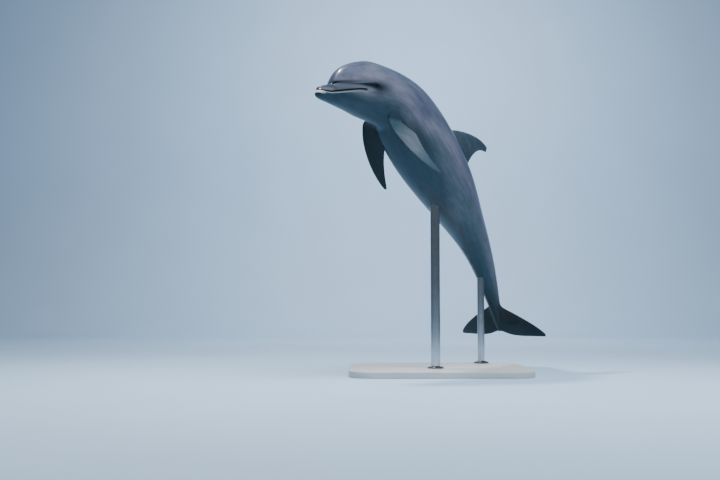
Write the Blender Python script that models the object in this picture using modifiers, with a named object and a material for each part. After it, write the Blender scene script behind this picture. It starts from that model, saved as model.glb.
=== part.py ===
"""A life-size bottlenose dolphin, leaping, on a plain display stand.

The animal is shaped straight first, with X running from the tip of the upper
jaw to the tail, +Z to its back and -Y to its left side. One half is a coarse
cage of rings, mirrored and subdivided. Then the straight body is bent along
its spine into the leap, and parted by thin cuts into its named parts.
"""
import math

import bmesh
import bpy
from mathutils import Matrix, Vector
from mathutils.bvhtree import BVHTree

CM = 0.01

# ---------------------------------------------------------------------------
# Driving dimensions
# ---------------------------------------------------------------------------
ROWS = 11                 # cage points from the middle of the back to the middle of the belly
SWELL = 1.02              # the subdivided surface lies this much inside its cage
SMOOTH_LEVELS = 1
CUT_GAP = 0.0003

# Head rings, in centimetres: place, top of the ring, crease under the melon (out, up),
# upper lip (out, up), mouth line (out, up), lower lip (out, up), bottom of the ring.
HEAD_RINGS = (
    (0.6, -4.7, 1.5, -5.2, 2.3, -6.0, 2.4, -6.9, 2.5, -7.9, -10.4),
    (3.0, -3.4, 2.9, -4.3, 3.9, -5.8, 3.9, -7.3, 4.1, -8.6, -11.4),
    (6.0, -2.6, 3.6, -3.7, 4.7, -5.6, 4.6, -7.4, 4.8, -8.8, -11.8),
    (7.8, -1.7, 4.0, -2.7, 5.1, -5.2, 4.9, -7.1, 5.2, -8.7, -12.0),
    (8.7, 3.2, 4.6, -1.6, 5.8, -4.7, 5.4, -6.9, 5.6, -8.6, -12.2),
    (11.0, 7.6, 5.9, -1.1, 6.8, -4.1, 6.4, -6.4, 6.5, -8.3, -12.5),
    (14.5, 11.0, 7.8, -0.8, 8.5, -3.4, 8.1, -5.5, 8.2, -7.7, -13.0),
    (19.0, 13.9, 9.5, -0.6, 10.1, -2.7, 9.7, -4.3, 9.8, -6.8, -13.7),
    (24.0, 16.1, 11.3, 0.0, 11.7, -1.6, 11.4, -3.0, 11.3, -6.1, -14.9),
    (29.0, 17.7, 12.7, 1.2, 12.8, -1.2, 12.7, -3.7, 12.4, -7.3, -16.0),
)
# Body stations, in centimetres: place, top, bottom, half width.
BODY = (
    (34.5, 17.8, -16.9, 13.9), (41.5, 16.9, -18.3, 15.0), (51.5, 16.3, -20.0, 16.2),
    (64.5, 18.0, -21.8, 17.4), (78.5, 20.0, -22.9, 18.6), (94.5, 20.6, -21.6, 18.9),
    (111.5, 19.6, -18.8, 18.0), (128.5, 17.2, -15.8, 16.0), (144.5, 14.6, -13.3, 13.4),
    (158.5, 12.8, -11.6, 10.9), (171.5, 12.0, -10.5, 9.0), (184.5, 11.9, -9.4, 7.4),
    (196.5, 11.8, -8.4, 6.1), (207.5, 9.8, -7.4, 5.0), (217.5, 7.2, -6.3, 4.0),
    (226.5, 5.4, -4.9, 3.3), (234.5, 3.8, -3.5, 2.6), (243.5, 1.2, -1.2, 1.8),
)
# Where the rings of the body stand, in centimetres.
BODY_RINGS = (34.5, 44.5, 51.5, 59.0, 66.5, 77.5, 88.5, 98.0, 107.5, 117.0, 125.5, 140.0,
              158.0, 175.0, 191.5, 206.5, 216.0, 222.5, 230.0, 237.0, 243.0)

# Fins: first and last ring that they grow from, and their levels outwards.
FLIPPER_ROOT = (44.5, 66.5)
FLIPPER_FRONT = 39.5      # where the levels are measured from
FLIPPER_HOLD = (0.5, 0.9, 1.0)      # how much the first levels swing with the flipper
FLIPPER_ROWS = (7, 8)
FLIPPER_SWEEP = 48.0      # degrees, back from straight out
FLIPPER_DROOP = 62.0      # degrees, down from level
# (share of the length, leading edge back, chord, thickness) in centimetres
FLIPPER_LEVELS = ((0.08, 3.6, 22.0, 4.2), (0.24, 1.9, 20.4, 3.6), (0.44, 2.4, 16.6, 2.8),
                  (0.65, 5.8, 12.2, 2.1), (0.85, 11.8, 7.8, 1.4), (1.0, 19.2, 2.4, 0.8))
FLIPPER_LENGTH = 53.0
DORSAL_ROOT = (88.5, 125.5)
# (height over the root, leading edge, trailing edge, thickness)
DORSAL_LEVELS = ((3.5, 90.0, 123.2, 4.2), (9.5, 95.4, 120.2, 3.3), (15.5, 103.0, 119.8, 2.5),
                 (20.8, 112.4, 122.2, 1.8), (24.8, 122.4, 127.4, 1.2), (27.0, 130.4, 132.4, 0.8))
FLUKE_ROOT = (222.5, 243.0)
FLUKE_ROWS = (4, 6)
# (out from the middle, leading edge, trailing edge, thickness, lift)
FLUKE_LEVELS = ((6.0, 224.4, 246.0, 3.0, 0.0), (12.5, 229.0, 247.6, 2.4, 0.6),
                (19.0, 234.8, 248.4, 1.8, 1.8), (25.4, 241.4, 249.4, 1.2, 3.4),
                (30.0, 248.0, 250.6, 0.7, 4.9))

# The leap: bends of the straight spine, as (from, to, downward, sideways, twist),
# places in metres and angles in degrees.
BENDS = ((0.33, 0.76, 45.4, 6.8, 8.3),
         (0.72, 1.52, -13.2, 17.4, -10.4),
         (1.42, 2.12, 21.2, -5.8, -11.1),
         (2.07, 2.37, -2.4, 5.7, -4.1))
HEADING = (-4.1, 6.9, 30.4)          # roll, pitch and turn of the head, degrees
HEAD_PLACE = Vector((-0.7456, -0.7337, 1.708))   # where the straight animal's zero point goes
FLIPPER_SWING = {-1.0: (4.1, 3.3, 22.9), 1.0: (35.8, 8.6, -27.2)}   # left, right

# Where the body is parted, in metres from the snout.
BODY_CUTS = (("head", 0.0, 0.375), ("trunk", 0.375, 1.46),
             ("tail_stock", 1.46, 2.16), ("tail_end", 2.16, 2.6))
DORSAL_CUT = ((0.90, 0.2235), (1.40, 0.1780))   # ends of the cut, along and up
FLIPPER_CUT = 0.032                  # outside the flank
FLUKE_CUT = 0.047                    # out from the middle
GAPE = 26.2                          # corner of the mouth, centimetres from the snout

EYE_PLACE = (0.318, 0.121, -0.002)   # middle of the eyeball
EYE_RADIUS = 0.0135

# Stand, in metres
BASE_SIZE = (1.10, 0.96, 0.04)
BASE_ROUND = 0.16
BASE_CENTRE = (-0.02, -0.08)
FLANGE = (0.050, 0.012)              # radius, height
ROD_BELLY = (1.02, 0.0180, 0.060)    # place on the spine, radius, depth in the body
ROD_TAIL = (1.86, 0.0125, 0.030)
ROD_SIDES = 16

# Colours are linear, materials are (colour, roughness, metallic).
SKIN = {"back": ((0.055, 0.070, 0.085), 0.28, 0.0), "flank": ((0.12, 0.15, 0.18), 0.28, 0.0),
        "belly": ((0.26, 0.30, 0.33), 0.30, 0.0), "fin": ((0.045, 0.058, 0.070), 0.28, 0.0),
        "eye": ((0.012, 0.008, 0.006), 0.06, 0.0), "steel": ((0.55, 0.56, 0.57), 0.30, 1.0),
        "base": ((0.50, 0.50, 0.49), 0.45, 0.0)}
PART_SKIN = {"head": "flank", "lower_jaw": "belly", "trunk": "flank",
             "tail_stock": "flank", "tail_end": "back", "dorsal_fin": "fin",
             "flipper_left": "fin", "flipper_right": "fin", "fluke_left": "fin",
             "fluke_right": "fin", "eye_left": "eye", "eye_right": "eye",
             "stand_base": "base", "stand_rod_belly": "steel", "stand_rod_tail": "steel"}


# ---------------------------------------------------------------------------
# Curves through the stations
# ---------------------------------------------------------------------------
def through(table, place, column):
    """Read one column of a table of stations along a smooth curve."""
    last = len(table) - 1
    if place <= table[0][0]:
        return table[0][column]
    if place >= table[last][0]:
        return table[last][column]
    i = 0
    while place > table[i + 1][0]:
        i += 1
    here, there = table[i], table[i + 1]
    before = table[max(i - 1, 0)]
    after = table[min(i + 2, last)]
    step = there[0] - here[0]
    t = (place - here[0]) / step
    slope_here = (there[column] - before[column]) / (there[0] - before[0]) * step
    slope_there = (after[column] - here[column]) / (after[0] - here[0]) * step
    cube, square = t ** 3, t ** 2
    return ((2 * cube - 3 * square + 1) * here[column] + (cube - 2 * square + t) * slope_here
            + (3 * square - 2 * cube) * there[column] + (cube - square) * slope_there)


def ease(value, start, end):
    """Go smoothly from 0 at start to 1 at end."""
    t = min(1.0, max(0.0, (value - start) / (end - start)))
    return t * t * (3.0 - 2.0 * t)


# ---------------------------------------------------------------------------
# Rings of the cage: lists of (place, out, up) from the back to the belly
# ---------------------------------------------------------------------------
def head_ring(row):
    place, top, crease_y, crease_z, lip_y, lip_z, mouth_y, mouth_z, jaw_y, jaw_z, bottom = row
    melon = crease_y * (1.0 + 0.07 * ease(place, 8.5, 11.0) * (1.0 - ease(place, 22.0, 29.0)))
    jut = 1.0 - ease(place, 0.0, 6.0)
    points = []
    for k in range(4):
        angle = math.radians(90.0 * k / 4)
        points.append((place, melon * math.sin(angle), crease_z + (top - crease_z) * math.cos(angle)))
    points.append((place, crease_y, crease_z))
    points.append((place, lip_y, lip_z))
    points.append((place + 0.2 * jut, mouth_y, mouth_z))
    points.append((place - 0.7 * jut, jaw_y, jaw_z))
    for k in (1, 2, 3):
        angle = math.radians(90.0 * k / 3)
        points.append((place - 0.8 * jut, jaw_y * math.cos(angle),
                       jaw_z + (bottom - jaw_z) * math.sin(angle)))
    return points


def body_ring(place):
    top = through(BODY, place, 1)
    bottom = through(BODY, place, 2)
    wide = through(BODY, place, 3)
    middle = (top + bottom) / 2
    fin = ease(place, 77.5, 88.5) * (1.0 - ease(place, 125.5, 140.0))
    keel = ease(place, 150.0, 200.0)
    fluke = ease(place, 208.0, 223.0)
    points = []
    for k in range(ROWS):
        degrees = 180.0 * k / (ROWS - 1)
        angle = math.radians(degrees)
        out = wide * math.sin(angle) ** (1.0 + 0.35 * keel)
        up = middle + (top - middle) * math.cos(angle)
        if k == 1:
            out -= fin * (out - 2.3)
            up += fin * (top - 0.35 - up)
        if k in (4, 6):
            flat = 1.5 * (5 - k)
            up += fluke * (middle + flat - up)
            out = out + fluke * (wide * 0.92 - out)
        points.append((place, out, up))
    return points


def half_rings():
    rings = [head_ring(row) for row in HEAD_RINGS]
    rings += [body_ring(place) for place in BODY_RINGS]
    return rings


# ---------------------------------------------------------------------------
# The half cage
# ---------------------------------------------------------------------------
def snout_middle():
    """Points down the middle of the snout's front, from row 2 to row 8."""
    return ((0.15, -5.5), (-0.1, -5.75), (-0.3, -6.05), (-0.35, -6.4),
            (0.1, -6.85), (-0.85, -7.5), (-0.75, -8.4))


def tail_middle():
    """Points down the middle of the notch between the flukes, from row 2 to row 8."""
    return ((243.1, 0.9), (243.2, 0.7), (243.2, 0.4), (243.2, 0.0),
            (243.2, -0.4), (243.2, -0.7), (243.1, -0.9))


def close_end(bm, ring, middle):
    """Fill a half ring with four-sided faces against points on the middle plane."""
    posts = [bm.verts.new((place * CM, 0.0, up * CM)) for place, up in middle]
    bm.faces.new((ring[0], ring[1], ring[2], posts[0]))
    for k in range(2, 8):
        bm.faces.new((ring[k], ring[k + 1], posts[k - 1], posts[k - 2]))
    bm.faces.new((ring[8], ring[9], ring[10], posts[6]))


def grow(bm, faces):
    """Extrude faces, drop the walls left on the middle plane, and return the moved faces."""
    result = bmesh.ops.extrude_face_region(bm, geom=faces)
    bmesh.ops.delete(bm, geom=faces, context="FACES")
    moved = [item for item in result["geom"] if isinstance(item, bmesh.types.BMFace)]
    flat = [face for face in bm.faces if all(abs(v.co.y) < 1e-7 for v in face.verts)]
    if flat:
        bmesh.ops.delete(bm, geom=flat, context="FACES")
    return moved


def patch(bm, grid, first, last, low, high):
    """Faces of the cage between two rings and between two rows."""
    faces = []
    for i in range(first, last):
        for k in range(low, high):
            wanted = {grid[i][k], grid[i + 1][k], grid[i + 1][k + 1], grid[i][k + 1]}
            for face in grid[i][k].link_faces:
                if set(face.verts) == wanted:
                    faces.append(face)
    return faces


def ring_at(place):
    return len(HEAD_RINGS) + BODY_RINGS.index(place)


def grow_fin(bm, faces, levels, place_vertex, flesh):
    """Raise a fin level by level; place_vertex gives each moved point its new place."""
    corners = {v for face in faces for v in face.verts}
    start = {v: v.co.copy() for v in corners}
    homes = dict(start)
    for number, level in enumerate(levels):
        before = {tuple(round(c, 7) for c in v.co): homes[v]
                  for v in {v for face in faces for v in face.verts}}
        faces = grow(bm, faces)
        moved = {v for face in faces for v in face.verts}
        homes = {v: before[tuple(round(c, 7) for c in v.co)] for v in moved}
        for v in moved:
            v.co = place_vertex(level, homes[v])
            if flesh is not None:
                v[flesh][0] = FLIPPER_HOLD[min(number, 2)]
    return faces


def dorsal_vertex(level, home):
    height, lead, trail, thick = level
    share = (home.x - DORSAL_ROOT[0] * CM) / ((DORSAL_ROOT[1] - DORSAL_ROOT[0]) * CM)
    base = through(BODY, DORSAL_ROOT[0], 1) + share * (
        through(BODY, DORSAL_ROOT[1], 1) - through(BODY, DORSAL_ROOT[0], 1))
    form = 4.0 * share * (1.0 - share) * 0.6 + 0.4
    side = 0.0 if abs(home.y) < 1e-7 else math.copysign(thick / 2 * form, home.y)
    lift = 0.0 if abs(home.y) < 1e-7 else -0.2
    return Vector((lead + share * (trail - lead), side, base + height + lift)) * CM


def fluke_vertex(level, home):
    out, lead, trail, thick, lift = level
    share = (home.x - FLUKE_ROOT[0] * CM) / ((FLUKE_ROOT[1] - FLUKE_ROOT[0]) * CM)
    form = 4.0 * share * (1.0 - share) * 0.6 + 0.4
    up = 0.0 if abs(home.z) < 0.004 else math.copysign(thick / 2 * form, home.z)
    return Vector((lead + share * (trail - lead), out, up + lift)) * CM


def flipper_axes():
    """Directions of the straight animal's flipper: along it, across its chord, through it."""
    sweep, droop = math.radians(FLIPPER_SWEEP), math.radians(FLIPPER_DROOP)
    out = Vector((0.0, math.cos(droop), -math.sin(droop)))
    back = Vector((1.0, 0.0, 0.0))
    along = math.cos(sweep) * out + math.sin(sweep) * back
    chord = math.cos(sweep) * back - math.sin(sweep) * out
    return along, chord, chord.cross(along)


def flipper_root():
    """The front of the flipper's root on the side at +Y."""
    ring = body_ring(FLIPPER_FRONT)
    up, down = ring[FLIPPER_ROWS[0]], ring[FLIPPER_ROWS[1]]
    return Vector([(a + b) / 2 for a, b in zip(up, down)]) * CM


def flipper_vertex(level, home):
    share, lead, chord_length, thick = level
    along, chord, through_way = flipper_axes()
    chord = Vector((1.0, 0.0, 0.0)).lerp(chord, ease(share, 0.0, 0.45)).normalized()
    root = flipper_root()
    across = (home.x - FLIPPER_ROOT[0] * CM) / ((FLIPPER_ROOT[1] - FLIPPER_ROOT[0]) * CM)
    form = 4.0 * across * (1.0 - across) * 0.6 + 0.4
    ring = body_ring(min(BODY_RINGS, key=lambda place: abs(place * CM - home.x)))
    middle = (ring[FLIPPER_ROWS[0]][2] + ring[FLIPPER_ROWS[1]][2]) / 2 * CM
    side = 1.0 if home.z > middle else -1.0
    outward = 1.0 if through_way.z > 0 else -1.0
    return (root + along * (share * FLIPPER_LENGTH * CM) + chord * ((lead + across * chord_length) * CM)
            + through_way * (side * outward * thick / 2 * form * CM))


def half_cage(name):
    bm = bmesh.new()
    flesh = bm.verts.layers.deform.verify()
    grid = []
    for ring in half_rings():
        grid.append([bm.verts.new((place * CM, out * CM * SWELL if 0 < k < ROWS - 1 else 0.0,
                                   up * CM * SWELL))
                     for k, (place, out, up) in enumerate(ring)])
    for front, back in zip(grid, grid[1:]):
        for k in range(ROWS - 1):
            bm.faces.new((front[k], back[k], back[k + 1], front[k + 1]))
    close_end(bm, grid[0], snout_middle())
    close_end(bm, grid[-1], tail_middle())

    first, last = (ring_at(place) for place in DORSAL_ROOT)
    grow_fin(bm, patch(bm, grid, first, last, 0, 1), DORSAL_LEVELS, dorsal_vertex, None)
    first, last = (ring_at(place) for place in FLUKE_ROOT)
    grow_fin(bm, patch(bm, grid, first, last, *FLUKE_ROWS), FLUKE_LEVELS, fluke_vertex, None)
    first, last = (ring_at(place) for place in FLIPPER_ROOT)
    grow_fin(bm, patch(bm, grid, first, last, *FLIPPER_ROWS), FLIPPER_LEVELS, flipper_vertex, flesh)

    bmesh.ops.recalc_face_normals(bm, faces=bm.faces)
    mesh = bpy.data.meshes.new(name)
    bm.to_mesh(mesh)
    bm.free()
    body = bpy.data.objects.new(name, mesh)
    body.vertex_groups.new(name="flipper")
    bpy.context.scene.collection.objects.link(body)
    return body


def straight_body(name):
    body = half_cage(name)
    mirror = body.modifiers.new("halves", "MIRROR")
    mirror.use_axis = (False, True, False)
    mirror.use_clip = True
    mirror.merge_threshold = 0.0001
    smooth = body.modifiers.new("smooth", "SUBSURF")
    smooth.levels = SMOOTH_LEVELS
    smooth.render_levels = SMOOTH_LEVELS
    return body


# ---------------------------------------------------------------------------
# The leap
# ---------------------------------------------------------------------------
SPINE_STEP = 0.01
SPINE_END = 2.6
SHOULDER = Vector((0.575, 0.135, -0.13))


def turn(axis, angle):
    return Matrix.Rotation(angle, 3, axis)


def head_turn():
    roll, pitch, heading = (math.radians(angle) for angle in HEADING)
    return turn("Z", heading) @ turn("Y", pitch) @ turn("X", roll)


def bend_rate(place):
    """How fast the spine twists, bends down and bends sideways at a place."""
    rate = Vector((0.0, 0.0, 0.0))
    for start, end, down, sideways, twist in BENDS:
        share = (place - start) / (end - start)
        if 0.0 < share < 1.0:
            swell = (1.0 - math.cos(2.0 * math.pi * share)) / (end - start)
            rate += swell * Vector([math.radians(a) for a in (twist, down, sideways)])
    return rate


def spine():
    """Places and directions along the bent spine, one for each step."""
    here, way = Vector((0.0, 0.0, 0.0)), head_turn()
    marks = [(here.copy(), way.copy())]
    for i in range(1, round(SPINE_END / SPINE_STEP) + 1):
        rate = (bend_rate(i * SPINE_STEP) + bend_rate((i - 1) * SPINE_STEP)) / 2
        angle = rate.length * SPINE_STEP
        after = way.copy()
        if angle > 1e-12:
            after = way @ Matrix.Rotation(angle, 3, rate.normalized())
        here = here + (way.col[0] + after.col[0]) / 2 * SPINE_STEP
        way = after
        marks.append((here.copy(), way.copy()))
    return marks


def leap(marks, point, flipper=0.0):
    """Carry a point of the straight animal to its place in the leap."""
    point = Vector(point)
    if flipper > 0.0:
        side = 1.0 if point.y > 0 else -1.0
        lift, swing, twist = (math.radians(a) for a in FLIPPER_SWING[side])
        pivot = Vector((SHOULDER.x, SHOULDER.y * side, SHOULDER.z))
        moved = pivot + turn("X", lift * side) @ turn("Y", swing) @ turn("Z", twist * side) @ (
            point - pivot)
        point = point.lerp(moved, flipper)
    place = min(max(point.x, 0.0), SPINE_END - SPINE_STEP)
    place = place * (1.0 - flipper) + SHOULDER.x * flipper
    step = min(int(place / SPINE_STEP), len(marks) - 2)
    share = place / SPINE_STEP - step
    (here, way), (there, way_on) = marks[step], marks[step + 1]
    middle = here.lerp(there, share)
    off = Vector((point.x - place, point.y, point.z))
    return HEAD_PLACE + middle + (way @ off).lerp(way_on @ off, share)


# ---------------------------------------------------------------------------
# Small helpers for objects
# ---------------------------------------------------------------------------
def add_object(name, bm, collection):
    mesh = bpy.data.meshes.new(name)
    bm.to_mesh(mesh)
    bm.free()
    thing = bpy.data.objects.new(name, mesh)
    collection.objects.link(thing)
    return thing


def hide_guide(guide):
    guide.hide_render = True
    guide.display_type = "WIRE"


def cut_by(thing, cutter):
    cut = thing.modifiers.new("cut_" + cutter.name, "BOOLEAN")
    cut.operation = "DIFFERENCE"
    cut.solver = "EXACT"
    cut.object = cutter


def finished(thing):
    """A bmesh of an object with its modifiers worked out."""
    bpy.context.view_layer.update()
    graph = bpy.context.evaluated_depsgraph_get()
    mesh = bpy.data.meshes.new_from_object(thing.evaluated_get(graph),
                                           preserve_all_data_layers=True, depsgraph=graph)
    bm = bmesh.new()
    bm.from_mesh(mesh)
    bpy.data.meshes.remove(mesh)
    return bm


def loose_parts(bm):
    """The separate closed bodies of a mesh, each as its own mesh."""
    waiting = set(bm.faces)
    parts = []
    while waiting:
        queue = [waiting.pop()]
        group = set(queue)
        while queue:
            for edge in queue.pop().edges:
                for face in edge.link_faces:
                    if face in waiting:
                        waiting.remove(face)
                        group.add(face)
                        queue.append(face)
        keep = {v.index for face in group for v in face.verts}
        part = bm.copy()
        bmesh.ops.delete(part, geom=[v for v in part.verts if v.index not in keep],
                         context="VERTS")
        parts.append(part)
    return parts


# ---------------------------------------------------------------------------
# Parting the body
# ---------------------------------------------------------------------------
def slice_away(bm, point, way):
    """Cut a mesh by a plane, drop what lies the given way, and close the cut with a fan."""
    cut = bmesh.ops.bisect_plane(bm, geom=bm.verts[:] + bm.edges[:] + bm.faces[:], dist=1e-7,
                                 plane_co=point, plane_no=way, clear_outer=True)
    edges = [item for item in cut["geom_cut"] if isinstance(item, bmesh.types.BMEdge)]
    caps = bmesh.ops.holes_fill(bm, edges=edges, sides=0)["faces"]
    bmesh.ops.poke(bm, faces=caps)


def body_lengths(bm):
    """The straight body cut across into its lengths."""
    lengths = {}
    for name, start, end in BODY_CUTS:
        part = bm.copy()
        if start > 0.0:
            slice_away(part, (start + CUT_GAP / 2, 0.0, 0.0), (-1.0, 0.0, 0.0))
        if end < SPINE_END:
            slice_away(part, (end - CUT_GAP / 2, 0.0, 0.0), (1.0, 0.0, 0.0))
        lengths[name] = part
    return lengths


def part_fin(pieces, owner, name, point, way):
    """Cut a fin off the length of the body that carries it; the plane faces outwards."""
    point, way = Vector(point), Vector(way).normalized()
    whole = pieces[owner]
    pieces[name] = whole.copy()
    slice_away(pieces[name], point + way * CUT_GAP / 2, -way)
    slice_away(whole, point - way * CUT_GAP / 2, way)


def part_fins(pieces):
    (front, high), (rear, low) = DORSAL_CUT
    part_fin(pieces, "trunk", "dorsal_fin", (front, 0.0, high), (high - low, 0.0, rear - front))
    for side, name in ((-1.0, "left"), (1.0, "right")):
        corners = []
        for place in FLIPPER_ROOT:
            for row in FLIPPER_ROWS:
                x, y, z = body_ring(place)[row]
                corners.append(Vector((x, y * side, z)) * CM)
        back = corners[2] + corners[3] - corners[0] - corners[1]
        down = corners[1] + corners[3] - corners[0] - corners[2]
        flank = back.cross(down).normalized() * side
        middle = sum(corners, Vector()) / 4
        part_fin(pieces, "trunk", "flipper_" + name, middle + flank * FLIPPER_CUT, flank)
        part_fin(pieces, "tail_end", "fluke_" + name, (0.0, side * FLUKE_CUT, 0.0),
                 (0.0, side, 0.0))


def pose(bm, marks):
    flesh = bm.verts.layers.deform.verify()
    for v in bm.verts:
        v.co = leap(marks, v.co, v[flesh].get(0, 0.0))


def split_off(whole, name, place, marks, collection):
    """Take the part that lies nearest a place of the straight animal out of a cut object."""
    parts = loose_parts(finished(whole))
    target = leap(marks, place)
    parts.sort(key=lambda part: (sum((v.co for v in part.verts), Vector()) / len(part.verts)
                                 - target).length)
    return add_object(name, parts[0], collection), parts[1]


# ---------------------------------------------------------------------------
# Mouth and eyes
# ---------------------------------------------------------------------------
def mouth_slit(marks, collection):
    """A thin bent sheet along the line of the mouth and down behind its corner."""
    line = [(-3.0, HEAD_RINGS[0][7] * SWELL)]
    line += [(row[0], row[7] * SWELL) for row in HEAD_RINGS if row[0] < GAPE - 1.8]
    corner = through(HEAD_RINGS, GAPE, 7) * SWELL
    line += [(GAPE - 0.2, corner), (GAPE + 0.6, corner - 1.4), (GAPE + 1.0, corner - 3.6),
             (GAPE + 1.2, -22.0)]
    bm = bmesh.new()
    posts = [bm.verts.new((x * CM, -0.2, z * CM)) for x, z in line]
    edges = [bm.edges.new(pair) for pair in zip(posts, posts[1:])]
    moved = bmesh.ops.extrude_edge_only(bm, edges=edges)["geom"]
    far = [item for item in moved if isinstance(item, bmesh.types.BMVert)]
    bmesh.ops.translate(bm, vec=(0.0, 0.4, 0.0), verts=far)
    for v in bm.verts:
        v.co = leap(marks, v.co)
    slit = add_object("part_lower_jaw", bm, collection)
    thick = slit.modifiers.new("thick", "SOLIDIFY")
    thick.thickness = CUT_GAP
    thick.offset = 0.0
    thick.use_even_offset = True
    hide_guide(slit)
    return slit


def ball(name, centre, radius, way, collection):
    """An eyeball with its pole turned the way that it looks."""
    bm = bmesh.new()
    bmesh.ops.create_uvsphere(bm, u_segments=12, v_segments=8, radius=radius)
    face = way.to_track_quat("Z", "Y").to_matrix()
    bmesh.ops.rotate(bm, matrix=face, verts=bm.verts)
    bmesh.ops.translate(bm, vec=centre, verts=bm.verts)
    return add_object(name, bm, collection)


def eye_place(marks, side):
    x, y, z = EYE_PLACE
    centre = leap(marks, (x, y * side, z))
    look = leap(marks, (x - 0.2, (y + 1.0) * side, z - 0.1)) - centre
    return centre, look.normalized()


# ---------------------------------------------------------------------------
# Stand
# ---------------------------------------------------------------------------
def disc_stack(levels, centre, sides):
    """A turned solid standing on Z, from (radius, height) levels."""
    bm = bmesh.new()
    rings = []
    for radius, height in levels:
        rings.append([bm.verts.new((centre[0] + radius * math.cos(2 * math.pi * i / sides),
                                    centre[1] + radius * math.sin(2 * math.pi * i / sides), height))
                      for i in range(sides)])
    for low, high in zip(rings, rings[1:]):
        for i in range(sides):
            j = (i + 1) % sides
            bm.faces.new((low[i], low[j], high[j], high[i]))
    bm.faces.new(list(reversed(rings[0])))
    bm.faces.new(rings[-1])
    return bm


def stand_base(collection):
    """A flat base with round corners and a small bevel round its top."""
    long, wide, high = BASE_SIZE
    bevel = 0.006
    bm = bmesh.new()
    rings = []
    for inset, height in ((0.003, 0.0), (0.0, 0.003), (0.0, high - bevel), (bevel, high)):
        ring = []
        for cx, cy, start in ((1, 1, 0), (-1, 1, 90), (-1, -1, 180), (1, -1, 270)):
            for i in range(7):
                angle = math.radians(start + 90.0 * i / 6)
                ring.append(bm.verts.new((
                    BASE_CENTRE[0] + cx * (long / 2 - BASE_ROUND) + (BASE_ROUND - inset) * math.cos(angle),
                    BASE_CENTRE[1] + cy * (wide / 2 - BASE_ROUND) + (BASE_ROUND - inset) * math.sin(angle),
                    height)))
        rings.append(ring)
    for low, high_ring in zip(rings, rings[1:]):
        for i in range(len(low)):
            j = (i + 1) % len(low)
            bm.faces.new((low[i], low[j], high_ring[j], high_ring[i]))
    bm.faces.new(list(reversed(rings[0])))
    bm.faces.new(rings[-1])
    return add_object("stand_base", bm, collection)


def underside(bm, x, y):
    """Lowest height of a mesh above a point of the floor."""
    tree = BVHTree.FromBMesh(bm)
    hit = tree.ray_cast(Vector((x, y, -1.0)), Vector((0.0, 0.0, 1.0)))
    return hit[0].z


def stand_rod(name, marks, sizes, body, parts, guides):
    """A rod with a foot flange, upright, let into a socket in the underside of a body."""
    place, radius, depth = sizes
    foot = leap(marks, (place, 0.0, 0.0))
    top = underside(finished(body), foot.x, foot.y) + depth
    high = BASE_SIZE[2] + CUT_GAP
    flange, thick = FLANGE
    levels = [(flange, high), (flange, high + thick - 0.002), (flange - 0.002, high + thick),
              (radius, high + thick), (radius, top)]
    rod = add_object(name, disc_stack(levels, foot, ROD_SIDES), parts)
    room = [(radius + CUT_GAP, top - 0.4), (radius + CUT_GAP, top + CUT_GAP)]
    socket = add_object("socket_" + name, disc_stack(room, foot, ROD_SIDES), guides)
    hide_guide(socket)
    cut_by(body, socket)
    return rod


# ---------------------------------------------------------------------------
# The whole
# ---------------------------------------------------------------------------
def material(name):
    colour, roughness, metallic = SKIN[PART_SKIN[name]]
    made = bpy.data.materials.new(name)
    made.use_nodes = True
    shader = made.node_tree.nodes["Principled BSDF"]
    shader.inputs["Base Color"].default_value = (*colour, 1.0)
    shader.inputs["Roughness"].default_value = roughness
    shader.inputs["Metallic"].default_value = metallic
    return made


def main():
    for thing in list(bpy.data.objects):
        bpy.data.objects.remove(thing)
    parts = bpy.data.collections.new("bottlenose_dolphin")
    guides = bpy.data.collections.new("cutters")
    for collection in (parts, guides):
        bpy.context.scene.collection.children.link(collection)

    marks = spine()
    straight = straight_body("straight_body")
    pieces = body_lengths(finished(straight))
    bpy.data.objects.remove(straight)
    part_fins(pieces)
    made = {}
    for name, bm in pieces.items():
        pose(bm, marks)
        made[name] = add_object(name, bm, parts)
    slit = mouth_slit(marks, guides)
    cut_by(made["head"], slit)
    made["lower_jaw"], upper = split_off(made["head"], "lower_jaw", (0.12, 0.0, -0.10), marks,
                                         parts)
    made["head"].modifiers.clear()
    upper.to_mesh(made["head"].data)

    for side, name in ((-1.0, "eye_left"), (1.0, "eye_right")):
        centre, look = eye_place(marks, side)
        made[name] = ball(name, centre, EYE_RADIUS, look, parts)
        socket = ball("socket_" + name, centre, EYE_RADIUS + CUT_GAP, look, guides)
        hide_guide(socket)
        cut_by(made["head"], socket)

    made["stand_base"] = stand_base(parts)
    made["stand_rod_belly"] = stand_rod("stand_rod_belly", marks, ROD_BELLY, made["trunk"],
                                        parts, guides)
    made["stand_rod_tail"] = stand_rod("stand_rod_tail", marks, ROD_TAIL, made["tail_stock"],
                                       parts, guides)
    for name, thing in made.items():
        thing.data.materials.clear()
        thing.data.materials.append(material(name))


if __name__ == "__main__":
    main()
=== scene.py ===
"""A leaping bottlenose dolphin on its display stand, finished and set in a studio."""

import math

import bmesh
import bpy
from mathutils import Matrix, Vector


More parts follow.
